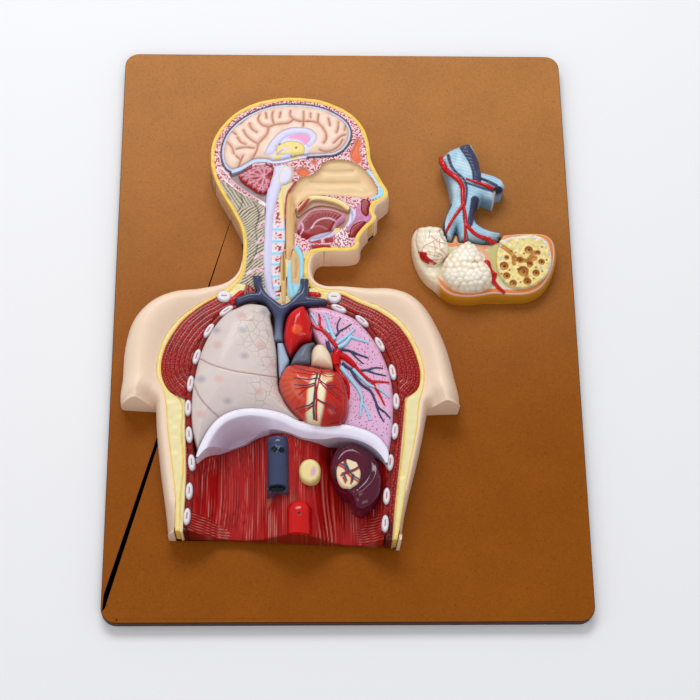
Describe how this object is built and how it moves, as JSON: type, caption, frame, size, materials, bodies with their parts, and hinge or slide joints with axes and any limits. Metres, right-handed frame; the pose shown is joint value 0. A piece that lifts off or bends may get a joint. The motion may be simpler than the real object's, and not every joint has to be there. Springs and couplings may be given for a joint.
{
  "type": "torso anatomy model",
  "caption": "Wall-board anatomy relief: a sectioned head, neck and open torso with its organs, beside an enlarged lung lobule, on a wooden board.",
  "frame": {"origin": "centre of the board's underside", "axes": "X across the board, +Y up the board to the crown of the head, +Z out of the relief"},
  "size_m": [0.45, 0.6, 0.074],
  "materials": {
    "board_wood": "semi-gloss varnished fibreboard",
    "screw_steel": "zinc-plated countersunk screw",
    "skin": "satin painted cast resin, skin tone",
    "fat": "satin painted, yellow fat layer",
    "bone": "painted bone, pale pink speckled with red",
    "rib_bone": "painted white bone ends with a red marrow line",
    "dura": "painted navy and lavender membrane",
    "brain": "painted pale pink cortex with brown furrows",
    "nerve_white": "painted pale lavender nerve tissue",
    "thalamus": "painted pale yellow",
    "cerebellum": "painted maroon with pink branches",
    "spine": "painted white bodies and light blue discs",
    "neck_muscle": "painted grey-beige with dark fibre lines",
    "airway": "painted tan lining",
    "palate": "painted yellow and red",
    "tongue": "painted red muscle with a pink rim",
    "lips": "painted pink",
    "cartilage": "glossy light blue",
    "gullet": "painted tan",
    "muscle": "deep red painted muscle with fibres",
    "right_lung": "greyish pink with a fine polygon pattern",
    "left_lung": "pink speckled section",
    "vein": "glossy navy",
    "artery": "glossy red",
    "bronchus": "glossy light blue",
    "aorta": "glossy bright red",
    "pulmonary_trunk": "slate grey-blue",
    "auricle": "cream",
    "heart": "glossy orange-red to deep red",
    "coronary": "red and navy vessels on a cream stripe",
    "diaphragm": "pale lavender",
    "abdominal_muscle": "glossy red with vertical fibres",
    "gullet_end": "pale yellow",
    "spleen": "dark maroon, high gloss",
    "hilum": "cream plate with vessels",
    "alveoli": "glossy cream",
    "lobule_tissue": "orange rim and yellow-brown side",
    "lobule_section": "pale yellow with brown passages"
  },
  "bodies": {
    "root": {"abdominal_aorta": "aorta", "abdominal_wall": "abdominal_muscle", "alveoli_centre": "alveoli", "alveoli_left": "alveoli", "aortic_arch": "aorta", "base_board": "board_wood", "body_shell": "skin", "brain": "brain", "brain_stem": "nerve_white", "bronchi_left": "bronchus", "bronchiole": "bronchus", "cerebellum": "cerebellum", "cervical_spine": "spine", "chest_wall_left": "muscle", "chest_wall_right": "muscle", "clavicle_left": "rib_bone", "clavicle_right": "rib_bone", "coronary_vessels": "coronary", "corpus_callosum": "nerve_white", "diaphragm": "diaphragm", "dura_liner": "dura", "fat_rim": "fat", "figure_screw_1": "screw_steel", "figure_screw_2": "screw_steel", "figure_screw_3": "screw_steel", "figure_screw_4": "screw_steel", "gullet": "gullet", "heart": "heart", "inferior_vena_cava": "vein", "jaw_section": "bone", "larynx": "cartilage", "left_auricle": "auricle", "left_lung": "left_lung", "lobule_artery": "artery", "lobule_base": "lobule_tissue", "lobule_screw_1": "screw_steel", "lobule_screw_2": "screw_steel", "lobule_section": "lobule_section", "lower_lip": "lips", "lumbar_vertebra": "rib_bone", "mediastinum": "muscle", "nasal_cavity": "airway", "neck_muscles": "neck_muscle", "oesophagus_stub": "gullet_end", "pulmonary_arteries_left": "vein", "pulmonary_trunk": "pulmonary_trunk", "pulmonary_veins_left": "artery", "rib_sections_left": "rib_bone", "rib_sections_right": "rib_bone", "right_atrium": "bronchus", "right_lung": "right_lung", "skull_section": "bone", "soft_palate": "palate", "spleen": "spleen", "spleen_hilum": "hilum", "superior_vena_cava": "vein", "thalamus": "thalamus", "tongue": "tongue", "upper_lip": "lips"}
  },
  "joints": []
}
